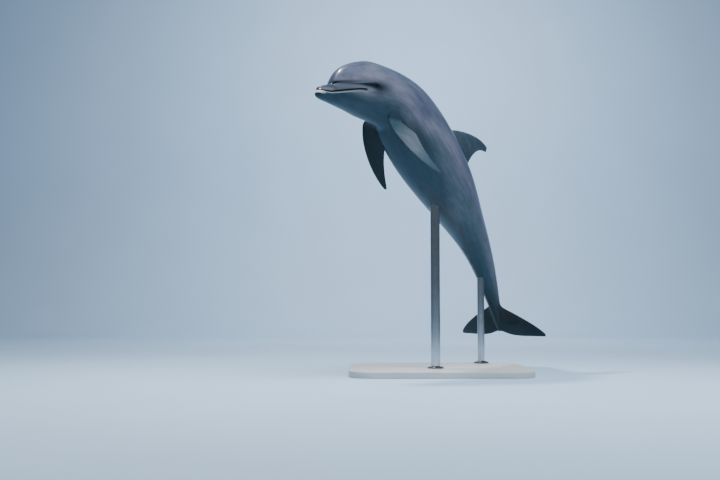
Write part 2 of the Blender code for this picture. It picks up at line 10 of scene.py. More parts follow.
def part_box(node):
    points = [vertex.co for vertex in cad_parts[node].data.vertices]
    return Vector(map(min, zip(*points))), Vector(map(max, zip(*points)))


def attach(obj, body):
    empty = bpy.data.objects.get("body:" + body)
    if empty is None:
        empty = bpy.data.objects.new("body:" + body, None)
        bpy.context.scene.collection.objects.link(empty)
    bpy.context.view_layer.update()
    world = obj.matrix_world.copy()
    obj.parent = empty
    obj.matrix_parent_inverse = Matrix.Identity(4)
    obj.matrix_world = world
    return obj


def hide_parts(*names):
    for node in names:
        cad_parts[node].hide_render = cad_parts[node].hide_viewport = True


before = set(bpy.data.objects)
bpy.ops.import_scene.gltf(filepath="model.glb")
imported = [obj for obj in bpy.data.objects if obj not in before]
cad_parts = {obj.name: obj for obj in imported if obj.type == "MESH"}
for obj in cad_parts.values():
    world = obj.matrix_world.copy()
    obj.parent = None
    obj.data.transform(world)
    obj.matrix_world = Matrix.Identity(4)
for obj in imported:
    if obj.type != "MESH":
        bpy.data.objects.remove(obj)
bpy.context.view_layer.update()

CM = 0.01

# ---------------------------------------------------------------------------
# The straight animal: X from the snout to the tail, +Z to the back
# ---------------------------------------------------------------------------
ROWS = 11                 # points of half a ring, from the back to the belly
CREASE_ROW = 4
SIDE_ROW = 5              # the widest one
MOUTH_ROW = 6
SWELL = 1.02              # the cage stands out, because smoothing draws the skin in
SKIN_LEVELS = 3

# Head rings, in centimetres: place, top of the ring, crease under the melon (out, up),
# upper lip (out, up), mouth line (out, up), lower lip (out, up), bottom of the ring.
HEAD_RINGS = (
    (0.6, -4.7, 1.5, -5.2, 2.3, -6.0, 2.4, -6.9, 2.5, -7.9, -10.4),
    (3.0, -3.4, 2.9, -4.3, 3.9, -5.8, 3.9, -7.3, 4.1, -8.6, -11.4),
    (6.0, -2.6, 3.6, -3.7, 4.7, -5.6, 4.6, -7.4, 4.8, -8.8, -11.8),
    (7.8, -1.7, 4.0, -2.7, 5.1, -5.2, 4.9, -7.1, 5.2, -8.7, -12.0),
    (8.7, 3.2, 4.6, -1.6, 5.8, -4.7, 5.4, -6.9, 5.6, -8.6, -12.2),
    (11.0, 7.6, 5.9, -1.1, 6.8, -4.1, 6.4, -6.4, 6.5, -8.3, -12.5),
    (14.5, 11.0, 7.8, -0.8, 8.5, -3.4, 8.1, -5.5, 8.2, -7.7, -13.0),
    (19.0, 13.9, 9.5, -0.6, 10.1, -2.7, 9.7, -4.3, 9.8, -6.8, -13.7),
    (24.0, 16.1, 11.3, 0.0, 11.7, -1.6, 11.4, -3.0, 11.3, -6.1, -14.9),
    (29.0, 17.7, 12.7, 1.2, 12.8, -1.2, 12.7, -3.7, 12.4, -7.3, -16.0),
)
HEAD_TOP, HEAD_MOUTH, HEAD_BOTTOM = 1, 7, 10      # columns: heights
CREASE_FRONT, HEAD_BACK = 7.0, 36.0      # the marked lines of the head lie between these
# Body stations, in centimetres: place, top, bottom, half width.
BODY = (
    (34.5, 17.8, -16.9, 13.9), (41.5, 16.9, -18.3, 15.0), (51.5, 16.3, -20.0, 16.2),
    (64.5, 18.0, -21.8, 17.4), (78.5, 20.0, -22.9, 18.6), (94.5, 20.6, -21.6, 18.9),
    (111.5, 19.6, -18.8, 18.0), (128.5, 17.2, -15.8, 16.0), (144.5, 14.6, -13.3, 13.4),
    (158.5, 12.8, -11.6, 10.9), (171.5, 12.0, -10.5, 9.0), (184.5, 11.9, -9.4, 7.4),
    (196.5, 11.8, -8.4, 6.1), (207.5, 9.8, -7.4, 5.0), (217.5, 7.2, -6.3, 4.0),
    (226.5, 5.4, -4.9, 3.3), (234.5, 3.8, -3.5, 2.6), (243.5, 1.2, -1.2, 1.8),
)
BODY_TOP, BODY_BOTTOM, BODY_WIDTH = 1, 2, 3      # columns
BODY_RINGS = (34.5, 44.5, 51.5, 59.0, 66.5, 77.5, 88.5, 98.0, 107.5, 117.0, 125.5, 140.0,
              158.0, 175.0, 191.5, 206.5, 216.0, 222.5, 230.0, 237.0, 243.0)
# Where the two end rings are drawn in to the middle: place, height
SNOUT_MIDDLE = ((0.15, -5.5), (-0.1, -5.75), (-0.3, -6.05), (-0.35, -6.4),
                (0.1, -6.85), (-0.85, -7.5), (-0.75, -8.4))
TAIL_MIDDLE = ((243.1, 0.9), (243.2, 0.7), (243.2, 0.4), (243.2, 0.0),
               (243.2, -0.4), (243.2, -0.7), (243.1, -0.9))

FLIPPER_ROOT = (44.5, 66.5)
FLIPPER_FRONT = 39.5      # the levels are measured from the flank at this place
FLIPPER_HOLD = (0.5, 0.9, 1.0)      # how much each level swings; the last holds for the rest
FLIPPER_ROWS = (7, 8)
FLIPPER_SWEEP = 48.0      # degrees, back from straight out
FLIPPER_DROOP = 62.0      # degrees, down from level
FLIPPER_LENGTH = 53.0
# (share of the length, leading edge back, chord, thickness)
FLIPPER_LEVELS = ((0.08, 3.6, 22.0, 4.2), (0.24, 1.9, 20.4, 3.6), (0.44, 2.4, 16.6, 2.8),
                  (0.65, 5.8, 12.2, 2.1), (0.85, 11.8, 7.8, 1.4), (1.0, 19.2, 2.4, 0.8))
DORSAL_ROOT = (88.5, 125.5)
DORSAL_ROWS = (0, 1)
DORSAL_FOOT = (2.3, 0.35)      # half width of the root, and its depth under the back
# (height over the root, leading edge, trailing edge, thickness)
DORSAL_LEVELS = ((3.5, 90.0, 123.2, 4.2), (9.5, 95.4, 120.2, 3.3), (15.5, 103.0, 119.8, 2.5),
                 (20.8, 112.4, 122.2, 1.8), (24.8, 122.4, 127.4, 1.2),
                 (27.0, 130.4, 132.4, 0.8))
FLUKE_ROOT = (222.5, 243.0)
FLUKE_ROWS = (4, 6)
FLUKE_FOOT = (0.92, 1.5)       # share of the stock's half width, and half thickness
# (out from the middle, leading edge, trailing edge, thickness, lift)
FLUKE_LEVELS = ((6.0, 224.4, 246.0, 3.0, 0.0), (12.5, 229.0, 247.6, 2.4, 0.6),
                (19.0, 234.8, 248.4, 1.8, 1.8), (25.4, 241.4, 249.4, 1.2, 3.4),
                (30.0, 248.0, 250.6, 0.7, 4.9))

# The leap: bends of the spine, as (from, to, downward, sideways, twist), degrees.
BENDS = ((0.33, 0.76, 45.4, 6.8, 8.3),
         (0.72, 1.52, -13.2, 17.4, -10.4),
         (1.42, 2.12, 21.2, -5.8, -11.1),
         (2.07, 2.37, -2.4, 5.7, -4.1))
HEADING = (-4.1, 6.9, 30.4)          # roll, pitch and turn of the head, degrees
HEAD_PLACE = Vector((-0.7456, -0.7337, 1.708))
# Lift, swing and twist of each flipper at its shoulder, degrees: left (-1), right (1)
FLIPPER_SWING = {-1.0: (4.1, 3.3, 22.9), 1.0: (35.8, 8.6, -27.2)}
SHOULDER = Vector((0.575, 0.135, -0.13))
SPINE_STEP = 0.01
SPINE_END = 2.6

EYE = Vector((0.318, 0.121, -0.002))
EYE_RADIUS = 0.0135
BLOWHOLE = Vector((0.335, -0.004, 0.178))
BELLY_MARKS = ((1.20, 0.006), (1.675, 0.036), (1.79, 0.005))   # navel, slit, vent

NEAR = 1e-5               # points closer than this are one

FLESH = ("head", "lower_jaw", "trunk", "tail_stock", "tail_end", "dorsal_fin",
         "flipper_left", "flipper_right", "fluke_left", "fluke_right")


def through(table, place, column):
    """Read one column of a table of stations along a smooth curve."""
    last = len(table) - 1
    if place <= table[0][0]:
        return table[0][column]
    if place >= table[last][0]:
        return table[last][column]
    i = 0
    while place > table[i + 1][0]:
        i += 1
    here, there = table[i], table[i + 1]
    before = table[max(i - 1, 0)]
    after = table[min(i + 2, last)]
    step = there[0] - here[0]
    t = (place - here[0]) / step
    slope_here = (there[column] - before[column]) / (there[0] - before[0]) * step
    slope_there = (after[column] - here[column]) / (after[0] - here[0]) * step
    cube, square = t ** 3, t ** 2
    return ((2 * cube - 3 * square + 1) * here[column] + (cube - 2 * square + t) * slope_here
            + (3 * square - 2 * cube) * there[column] + (cube - square) * slope_there)


def ease(value, start, end):
    """Go smoothly from 0 at start to 1 at end."""
    t = min(1.0, max(0.0, (value - start) / (end - start)))
    return t * t * (3.0 - 2.0 * t)


def bell(distance, width):
    """1 at no distance, falling away smoothly over the width."""
    return math.exp(-(distance / width) ** 2)


# ---------------------------------------------------------------------------
# Rings of the cage, from the back to the belly
# ---------------------------------------------------------------------------
def head_ring(station):
    """An arch over the melon or beak, the two lips, and an arch under the lower jaw."""
    (place, top, crease_out, crease_up, lip_out, lip_up,
     mouth_out, mouth_up, jaw_out, jaw_up, bottom) = station
    melon_swell = 0.07 * ease(place, 8.5, 11.0) * (1.0 - ease(place, 22.0, 29.0))
    melon = crease_out * (1.0 + melon_swell)
    jut = 1.0 - ease(place, 0.0, 6.0)      # the tip of the lower jaw stands ahead
    points = []
    for row in range(CREASE_ROW):
        angle = math.radians(90.0 * row / CREASE_ROW)
        points.append((place, melon * math.sin(angle),
                       crease_up + (top - crease_up) * math.cos(angle)))
    points.append((place, crease_out, crease_up))
    points.append((place, lip_out, lip_up))
    points.append((place + 0.2 * jut, mouth_out, mouth_up))
    points.append((place - 0.7 * jut, jaw_out, jaw_up))
    for step in (1, 2, 3):
        angle = math.radians(90.0 * step / 3)
        points.append((place - 0.8 * jut, jaw_out * math.cos(angle),
                       jaw_up + (bottom - jaw_up) * math.sin(angle)))
    return points


def body_ring(place):
    """Half an oval, narrower under the dorsal fin, keeled and flattened towards the flukes."""
    top = through(BODY, place, BODY_TOP)
    bottom = through(BODY, place, BODY_BOTTOM)
    wide = through(BODY, place, BODY_WIDTH)
    middle = (top + bottom) / 2
    fin = ease(place, 77.5, 88.5) * (1.0 - ease(place, 125.5, 140.0))
    keel = ease(place, 150.0, 200.0)
    fluke = ease(place, 208.0, 223.0)
    points = []
    for row in range(ROWS):
        angle = math.pi * row / (ROWS - 1)
        out = wide * math.sin(angle) ** (1.0 + 0.35 * keel)
        up = middle + (top - middle) * math.cos(angle)
        if row == DORSAL_ROWS[1]:
            out -= fin * (out - DORSAL_FOOT[0])
            up += fin * (top - DORSAL_FOOT[1] - up)
        if row in FLUKE_ROWS:
            up += fluke * (middle + FLUKE_FOOT[1] * (SIDE_ROW - row) - up)
            out += fluke * (wide * FLUKE_FOOT[0] - out)
        points.append((place, out, up))
    return points


RINGS = ([head_ring(station) for station in HEAD_RINGS]
         + [body_ring(place) for place in BODY_RINGS])


def ring_at(place):
    """The number of the body ring at a place."""
    return len(HEAD_RINGS) + BODY_RINGS.index(place)


def cage_place(ring):
    """The place of a ring, from its number."""
    return RINGS[ring][0][0]


def cage_point(ring, row):
    """Where a point of the cage lies, in metres; both edges stay in the middle plane."""
    place, out, up = RINGS[ring][row]
    out = 0.0 if row in (0, ROWS - 1) else out * SWELL
    return Vector((place, out, up * SWELL)) * CM


# ---------------------------------------------------------------------------
# Shaping the half cage by hand
# ---------------------------------------------------------------------------
def edit_mesh():
    """The mesh that is open for editing."""
    return bmesh.from_edit_mesh(bpy.context.object.data)


def cage_layers(bm):
    """The row, ring and level that each point of the cage carries."""
    return [bm.verts.layers.int[name] for name in ("row", "ring", "level")]


def show(bm):
    """Hand what was moved or selected back to the operators."""
    bm.select_flush_mode()
    bmesh.update_edit_mesh(bpy.context.object.data)


def begin(name):
    """Name the new primitive, settle its place in its mesh and open it for editing."""
    bpy.context.object.name = name
    bpy.context.object.data.name = name
    bpy.ops.object.transform_apply(location=True, rotation=True, scale=True)
    bpy.ops.object.mode_set(mode="EDIT")
    bpy.ops.mesh.select_all(action="SELECT")


def end():
    """Close the piece and give it back."""
    bpy.ops.object.mode_set(mode="OBJECT")
    return bpy.context.object


def face_out():
    """Turn all faces of the open piece outwards."""
    bpy.ops.mesh.select_all(action="SELECT")
    bpy.ops.mesh.normals_make_consistent(inside=False)


def pick(mode, wanted):
    """Select only the vertices, edges or faces that are wanted."""
    bpy.ops.mesh.select_all(action="DESELECT")
    bpy.ops.mesh.select_mode(type=mode)
    bm = edit_mesh()
    for item in {"VERT": bm.verts, "EDGE": bm.edges, "FACE": bm.faces}[mode]:
        if wanted(item):
            item.select = True
    show(bm)


def snout_ring():
    """Half a circle of vertices, shaped to the first ring of the beak."""
    bpy.ops.object.select_all(action="DESELECT")
    bpy.ops.mesh.primitive_circle_add(vertices=2 * (ROWS - 1), radius=0.025,
                                      location=(0.006, 0.0, -0.0735),
                                      rotation=(0.0, math.radians(90.0), 0.0))
    begin("dolphin_skin")
    bpy.ops.mesh.bisect(plane_co=(0.0, 0.0, 0.0), plane_no=(0.0, 1.0, 0.0), clear_inner=True)
    bm = edit_mesh()
    row = bm.verts.layers.int.new("row")
    bm.verts.layers.int.new("ring")
    bm.verts.layers.int.new("level")
    for number, v in enumerate(sorted(bm.verts, key=lambda v: -v.co.z)):
        v[row] = number
        v.co = cage_point(0, number)
    for item in list(bm.verts) + list(bm.edges):
        item.select = True
    show(bm)


def draw_body():
    """Pull the ring out, ring by ring, to the notch of the tail."""
    for number in range(1, len(RINGS)):
        step = (cage_place(number) - cage_place(number - 1)) * CM
        bpy.ops.mesh.extrude_edges_move(TRANSFORM_OT_translate={"value": (step, 0.0, 0.0)})
        bm = edit_mesh()
        row, ring, _ = cage_layers(bm)
        for v in bm.verts:
            if v.select:
                v[ring] = number
                v.co = cage_point(number, v[row])
        show(bm)


def close_end(number, middle):
    """Pull an end ring in to the middle, merge it there, and clear the two short edges."""
    spots = [Vector((place, 0.0, up)) * CM for place, up in middle]
    bm = edit_mesh()
    _, ring, _ = cage_layers(bm)
    pick("EDGE", lambda e: all(v[ring] == number for v in e.verts))
    bpy.ops.mesh.extrude_edges_move()
    bm = edit_mesh()
    row, _, level = cage_layers(bm)
    for v in bm.verts:
        if v.select:
            v.co = spots[min(max(v[row] - 2, 0), len(spots) - 1)]
            v[level] = -1
    show(bm)
    bpy.ops.mesh.remove_doubles(threshold=NEAR)
    bm = edit_mesh()
    row, ring, level = cage_layers(bm)
    corners = {1: spots[0], ROWS - 2: spots[-1]}

    def is_short(edge):
        a, b = edge.verts
        for v, other in ((a, b), (b, a)):
            if v[ring] == number and v[level] == 0 and v[row] in corners:
                if (other.co - corners[v[row]]).length < NEAR:
                    return True
        return False

    pick("EDGE", is_short)
    bpy.ops.mesh.dissolve_edges(use_verts=False)


def raise_fin(rings, rows, levels, place_vertex):
    """Extrude a fin level by level out of a patch of the body."""
    first, last = rings
    bm = edit_mesh()
    row, ring, level = cage_layers(bm)
    pick("FACE", lambda f: all(v[level] == 0 and first <= v[ring] <= last
                               and rows[0] <= v[row] <= rows[1] for v in f.verts))
    for number, size in enumerate(levels):
        bpy.ops.mesh.extrude_region_move()
        bm = edit_mesh()
        row, ring, level = cage_layers(bm)
        for v in bm.verts:
            if v.select:
                v[level] = number + 1
                v.co = place_vertex(size, cage_place(v[ring]), v[row])
        show(bm)


def open_middle():
    """Clear the faces and loose edges that the dorsal fin leaves in the middle plane."""
    pick("FACE", lambda f: all(abs(v.co.y) < 1e-7 for v in f.verts))
    bpy.ops.mesh.delete(type="ONLY_FACE")
    bpy.ops.mesh.select_all(action="SELECT")
    bpy.ops.mesh.delete_loose(use_faces=False)


def share_of(place, stretch):
    """0 at the front of a stretch of the body, 1 at its back."""
    front, back = stretch
    return (place - front) / (back - front)


def fullness(share):
    """Thickness of a fin over its chord: 1 in the middle, 0.4 at both edges."""
    return 4.0 * share * (1.0 - share) * 0.6 + 0.4


def dorsal_vertex(size, place, row):
    """A point of the dorsal fin's half; its first row is the ridge in the middle plane."""
    height, lead, trail, thick = size
    share = share_of(place, DORSAL_ROOT)
    front, back = (through(BODY, end_place, BODY_TOP) for end_place in DORSAL_ROOT)
    base = front + share * (back - front)
    side, lift = (0.0, 0.0) if row == 0 else (thick / 2 * fullness(share), -0.2)
    return Vector((lead + share * (trail - lead), side, base + height + lift)) * CM


def fluke_vertex(size, place, row):
    """A point of one fluke, over, on or under its edge."""
    out, lead, trail, thick, lift = size
    share = share_of(place, FLUKE_ROOT)
    up = (SIDE_ROW - row) * thick / 2 * fullness(share)
    return Vector((lead + share * (trail - lead), out, up + lift)) * CM


def flipper_axes():
    """Along the flipper, across its chord, and up through it, on the side at +Y."""
    sweep, droop = math.radians(FLIPPER_SWEEP), math.radians(FLIPPER_DROOP)
    out = Vector((0.0, math.cos(droop), -math.sin(droop)))
    back = Vector((1.0, 0.0, 0.0))
    along = math.cos(sweep) * out + math.sin(sweep) * back
    chord = math.cos(sweep) * back - math.sin(sweep) * out
    return along, chord, chord.cross(along)


def flipper_root():
    """The point of the flank between the flipper's two rows."""
    ring = body_ring(FLIPPER_FRONT)
    up, down = ring[FLIPPER_ROWS[0]], ring[FLIPPER_ROWS[1]]
    return Vector([(a + b) / 2 for a, b in zip(up, down)]) * CM


def flipper_vertex(size, place, row):
    """A point of one flipper; the chord turns from the body's line into the sweep."""
    share, lead, chord_length, thick = size
    along, chord, through_way = flipper_axes()
    chord = Vector((1.0, 0.0, 0.0)).lerp(chord, ease(share, 0.0, 0.45)).normalized()
    across = share_of(place, FLIPPER_ROOT)
    side = 1.0 if row == FLIPPER_ROWS[0] else -1.0
    return (flipper_root() + along * (share * FLIPPER_LENGTH * CM)
            + chord * ((lead + across * chord_length) * CM)
            + through_way * (side * thick / 2 * fullness(across) * CM))


def mark_rows(skin):
    """Vertex groups: how much a point goes with a flipper, and where lips and crease run."""
    flipper, lips, crease, fins = (skin.vertex_groups.new(name=name).index
                                   for name in ("flipper", "lips", "crease", "fins"))
    bm = bmesh.new()
    bm.from_mesh(skin.data)
    row, ring, level = cage_layers(bm)
    ways = bm.verts.layers.deform.verify()
    for v in bm.verts:
        place = cage_place(v[ring])
        if v[level] > 0:
            v[ways][fins] = 1.0
            if v[row] in FLIPPER_ROWS:
                v[ways][flipper] = FLIPPER_HOLD[min(v[level], len(FLIPPER_HOLD)) - 1]
        elif v[row] == MOUTH_ROW and place < HEAD_BACK:
            v[ways][lips] = 1.0
        if v[level] == 0 and v[row] == CREASE_ROW and CREASE_FRONT < place < HEAD_BACK:
            v[ways][crease] = 1.0
    bm.to_mesh(skin.data)
    bm.free()


def apply(piece, kind, name, **settings):
    """Add a modifier, set it and work it into the mesh."""
    modifier = piece.modifiers.new(name, kind)
    for key, value in settings.items():
        setattr(modifier, key, value)
    bpy.context.view_layer.objects.active = piece
    bpy.ops.object.modifier_apply(modifier=name)


def straight_skin():
    """The whole skin of the straight animal: half a cage, mirrored and smoothed."""
    snout_ring()
    draw_body()
    close_end(0, SNOUT_MIDDLE)
    close_end(len(RINGS) - 1, TAIL_MIDDLE)
    roots = [(ring_at(a), ring_at(b)) for a, b in (DORSAL_ROOT, FLUKE_ROOT, FLIPPER_ROOT)]
    raise_fin(roots[0], DORSAL_ROWS, DORSAL_LEVELS, dorsal_vertex)
    open_middle()
    raise_fin(roots[1], FLUKE_ROWS, FLUKE_LEVELS, fluke_vertex)
    raise_fin(roots[2], FLIPPER_ROWS, FLIPPER_LEVELS, flipper_vertex)
    face_out()
    skin = end()
    mark_rows(skin)
    apply(skin, "MIRROR", "halves", use_axis=(False, True, False), use_clip=True,
          merge_threshold=0.0001)
    apply(skin, "SUBSURF", "smooth", levels=SKIN_LEVELS, render_levels=SKIN_LEVELS)
    return skin


# ---------------------------------------------------------------------------
# Finer mesh where the small forms are, and the small forms themselves, in metres
# ---------------------------------------------------------------------------
# Marked lines that are divided: group, weight of its points, from and to
FINE_LINES = (("lips", 0.45, -0.10, 0.285), ("lips", 0.72, -0.10, 0.28),
              ("crease", 0.50, 0.07, 0.30))
# Half sizes of the areas round the eye and the blowhole that are divided
EYE_AREA = (0.036, 0.050, 0.028)
BLOWHOLE_AREA = (0.034, 0.046, 0.050)
EYE_OPENING = (0.0142, 0.0074)      # half length and half height
# Folds over and under the eye: depth, height over its middle, arch, width
EYE_FOLDS = ((0.0013, 0.0130, -9.0, 0.0019), (0.0010, -0.0128, 7.0, 0.0020),
             (0.0006, -0.0180, 6.0, 0.0024))


def refine(wanted, relax=2):
    """Divide the faces of a small area once more, and round the new points off."""
    pick("FACE", wanted)
    bpy.ops.mesh.subdivide(number_cuts=1)
    bpy.ops.mesh.select_mode(type="VERT")
    bpy.ops.mesh.vertices_smooth(factor=0.5, repeat=relax)


def near_box(middle, sizes, both_sides=False):
    """Faces whose middle lies in a box; the box may also be mirrored to the right side."""
    def wanted(face):
        c = face.calc_center_median()
        y = abs(c.y) if both_sides else c.y
        return (abs(c.x - middle.x) < sizes[0] and abs(y - middle.y) < sizes[1]
                and abs(c.z - middle.z) < sizes[2])
    return wanted


def refine_line(name, low, start, stop):
    """Divide the faces that follow a marked line, between two places from the snout."""
    index = bpy.context.object.vertex_groups[name].index
    bm = edit_mesh()
    ways = bm.verts.layers.deform.verify()
    refine(lambda f: all(v[ways].get(index, 0.0) > low and start < v.co.x < stop
                         for v in f.verts))


def divide_small_areas(skin):
    """Lips, crease, eyes, blowhole and belly folds, each step finer and smaller."""
    bpy.context.view_layer.objects.active = skin
    bpy.ops.object.mode_set(mode="EDIT")
    for name, low, start, stop in FINE_LINES:
        refine_line(name, low, start, stop)
    long, deep, high = EYE_AREA
    for grow in (1.0, 0.78, 0.6):
        refine(near_box(EYE, (long * grow, deep, high * grow), True), 1)
    long, wide, deep = BLOWHOLE_AREA
    for grow in (1.0, 0.75):
        refine(near_box(BLOWHOLE, (long * grow, wide * grow, deep)), 1)
    for place, long in BELLY_MARKS:
        for grow in (1.0, 0.7):
            refine(near_box(Vector((place, 0.0, -0.15)), (long + 0.02, 0.03 * grow, 0.12)), 1)
    end()


def lips_form(v, line):
    """A narrow groove between two soft lips, running out at the corner of the mouth."""
    off = 1.0 - line
    fade = 1.0 - ease(v.co.x, 0.252, 0.268)
    groove = -0.0052 * bell(off, 0.105)
    rims = 0.0010 * bell(off - 0.30, 0.13)
    return fade * (groove + rims)


def crease_form(v, line):
    """The fold between the beak and the melon, running out on the cheek."""
    fade = ease(v.co.x, 0.076, 0.090) * (1.0 - ease(v.co.x, 0.20, 0.31))
    return fade * -0.0044 * bell(1.0 - line, 0.20)


def eye_form(v):
    """A slight mound, two lids round an almond opening, and a fold over and under them."""
    across, up = v.co.x - EYE.x, v.co.z - EYE.z
    if abs(v.co.y) < 0.07 or abs(across) > 0.08 or abs(up) > 0.06:
        return 0.0
    ring = abs(across / EYE_OPENING[0]) ** 1.7 + abs(up / EYE_OPENING[1]) ** 1.7
    mound = 0.0006 * bell(across, 0.034) * bell(up, 0.024)
    hollow = -0.0100 * (1.0 - ease(ring, 0.72, 1.06))
    lids = 0.0013 * bell(ring - 1.55, 0.55)
    reach = 1.0 - ease(abs(across), 0.016, 0.028)
    folds = sum(depth * reach * bell(up - height - arch * across ** 2, width)
                for depth, height, arch, width in EYE_FOLDS)
    return mound + hollow + lids - folds


def blowhole_form(v):
    """A crescent slit, open to the front, in a low soft rim."""
    across = v.co.y - BLOWHOLE.y
    along = v.co.x - BLOWHOLE.x - 0.006 + 13.0 * across ** 2
    if v.co.z < 0.1 or abs(across) > 0.07 or abs(along) > 0.07:
        return 0.0
    reach = 1.0 - ease(abs(across), 0.019, 0.027)
    slit = -0.0065 * reach * bell(along, 0.0021)
    rim = 0.0018 * bell(along, 0.012) * bell(across, 0.030)
    plug = -0.0012 * bell(along + 0.012, 0.009) * bell(across, 0.020)
    return slit + rim + plug


def belly_form(v):
    """Navel, slit and vent along the middle of the belly."""
    if v.co.z > -0.05 or abs(v.co.y) > 0.05:
        return 0.0
    form = 0.0
    for place, long in BELLY_MARKS:
        off = max(0.0, abs(v.co.x - place) - long)
        if off < 0.05:
            form -= 0.0042 * bell(off, 0.006) * bell(v.co.y, 0.0032)
            form += 0.0012 * bell(off, 0.02) * bell(abs(v.co.y) - 0.010, 0.007)
    return form


def model_small_forms(skin):
    """Press the small forms into the skin along its normals, before it is bent."""
    bm = bmesh.new()
    bm.from_mesh(skin.data)
    bm.normal_update()
    ways = bm.verts.layers.deform.verify()
    lips, crease = (skin.vertex_groups[name].index for name in ("lips", "crease"))
    moves = []
    for v in bm.verts:
        move = eye_form(v) + blowhole_form(v) + belly_form(v)
        if lips in v[ways]:
            move += lips_form(v, v[ways][lips])
        if crease in v[ways]:
            move += crease_form(v, v[ways][crease])
        moves.append(v.normal * move)
    for v, move in zip(bm.verts, moves):
        v.co += move
    bm.to_mesh(skin.data)
    bm.free()


# ---------------------------------------------------------------------------
# Markings of the skin, and its painted light and shade, worked out on the straight animal
# ---------------------------------------------------------------------------
# Painted light: patches that are lighter than the plain change from belly to back, where the
# light falls: amount, place and reach along the body in metres, height and reach up and down
# (-1 belly, 1 back)
PAINTED_LIGHT_PATCHES = (
    (0.34, 0.60, 0.17, -0.04, 0.50),      # shoulder
    (0.10, 0.17, 0.06, 0.28, 0.30),       # melon
    (0.42, 0.26, 0.15, -0.32, 0.30),      # cheek
    (0.14, 0.24, 0.11, -0.85, 0.30),      # throat
    (0.25, 1.30, 0.20, -0.75, 0.35),      # lower flank
    (0.26, 1.95, 0.28, -0.05, 0.50),      # stock
)
FLUKES_FROM = 1.9         # every fin behind this place is a fluke
TAIL_DARK = (1.95, 2.30)  # the tail darkens between these places


def body_height(co):
    """-1 at the belly, 1 at the back."""
    place = co.x / CM
    head, body = HEAD_RINGS[-1], BODY[0]
    if place < body[0]:
        share = max(0.0, share_of(place, (head[0], body[0])))
        top, bottom = (through(HEAD_RINGS, place, column) for column in (HEAD_TOP, HEAD_BOTTOM))
        top += share * (body[BODY_TOP] - top)
        bottom += share * (body[BODY_BOTTOM] - bottom)
    else:
        top, bottom = (through(BODY, place, column) for column in (BODY_TOP, BODY_BOTTOM))
    return (co.z / CM - (top + bottom) / 2) / max(1.0, (top - bottom) / 2)


def tone(co, outer):
    """Where a point lies between belly, 0, and cape, 1, with patches of painted light; outer is
    how far it is out on a fin. A flipper's outer face gets a painted lighter tone.
    """
    height = body_height(co)
    cape_drop = 0.16 * bell(co.x - 1.20, 0.30) - 0.10 * bell(co.x - 1.60, 0.25)
    plain = ease(height + cape_drop, -1.05, 1.15)
    # Add the patches of painted light
    for amount, place, along, level, reach in PAINTED_LIGHT_PATCHES:
        plain += amount * bell(co.x - place, along) * bell(height - level, reach)
    plain -= 0.22 * ease(co.x, 1.35, 1.60) * ease(height, 0.40, 0.90)
    # Painted light: a flipper's outer face gets a mid tone, lightest near 0.70 m along the
    # body; the dorsal fin keeps an even tone of its own
    blade = 0.25 + 0.22 * bell(co.x - 0.70, 0.10) if co.z < 0.0 else 0.35
    return plain + outer * (blade - plain)


def shade(co):
    """The dark eye patch, and painted shade along the crease, in the corner between beak and
    melon, over the top of the beak and in the hollow above the flipper.
    """
    if co.x > 1.0:
        return 0.0
    across, up = co.x - EYE.x, co.z - EYE.z
    eye_patch = 0.98 * bell(across - 0.012, 0.066) * bell(up + 0.007, 0.036)
    # Painted shade along the crease under the melon
    over_crease_line = co.z - (-0.018 + 0.050 * co.x)
    crease_shade = 0.85 * bell(over_crease_line, 0.0115)
    crease_shade *= ease(co.x, 0.072, 0.10) * (1.0 - ease(co.x, 0.30, 0.33))
    # Painted shade that darkens the top of the beak
    over_mouth = co.z - (-0.069 + 0.12 * co.x)
    beak = 0.52 * (1.0 - ease(co.x, 0.075, 0.115))
    beak *= ease(over_mouth, 0.0, 0.012) * (1.0 - ease(co.z, -0.030, 0.010))
    # Painted shade in the corner between beak and melon
    corner = 0.60 * bell(co.x - 0.083, 0.009) * bell(co.z + 0.018, 0.013)
    # Painted shade in the hollow above the flipper
    hollow = 0.50 * bell(co.x - 0.735, 0.110) * bell(co.z + 0.090, 0.026)
    return min(1.0, eye_patch + crease_shade + beak + corner + hollow)


def pale(co, line):
    """The bare pale tip of the lower jaw, a painted highlight along the rim of the lower lip,
    and a soft painted highlight on the cheek.
    """
    below = through(HEAD_RINGS, co.x / CM, HEAD_MOUTH) * CM * SWELL - co.z
    tip = 0.92 * (1.0 - ease(co.x, 0.012, 0.048))
    tip *= ease(below, -0.001, 0.002) * (1.0 - ease(below, 0.013, 0.022))
    # Painted highlight along the ridge of the lower lip
    rim = 0.0
    if line > 0.0:
        rim = ease(below, 0.0012, 0.0030) * bell(1.0 - line - 0.44, 0.13)
        rim *= 0.42 * (1.0 - ease(co.x, 0.10, 0.27)) + 0.16 * (1.0 - ease(co.x, 0.25, 0.28))
    # Painted highlight on the cheek
    cheek = 0.0
    if abs(co.y) > 0.05:
        cheek = 0.085 * bell(co.x - 0.285, 0.028) * bell(co.z + 0.034, 0.013)
    return min(1.0, tip + rim + cheek)


def outer_face(co, normal):
    """1 where a flipper faces away from the body, 0 where it faces the belly: it splits a
    flipper into a face with painted light and a face with painted shade.
    """
    return ease(normal.y * (1.0 if co.y > 0.0 else -1.0), -0.10, 0.35)


def dark_fins_and_flipper_shade(co, normal, weight):
    """Flukes are dark, a flipper's inner face is darkened as painted shade, and the dorsal fin
    is hardly darker.
    """
    tail = 0.9 * ease(co.x, *TAIL_DARK)
    if weight <= 0.0:
        return tail
    if co.x > FLUKES_FROM:
        return max(0.95 * weight, tail)
    if co.z > 0.0:
        return 0.12 * weight
    # Painted shade on a flipper's inner face, the one towards the belly
    return weight * (0.96 - 0.94 * outer_face(co, normal))


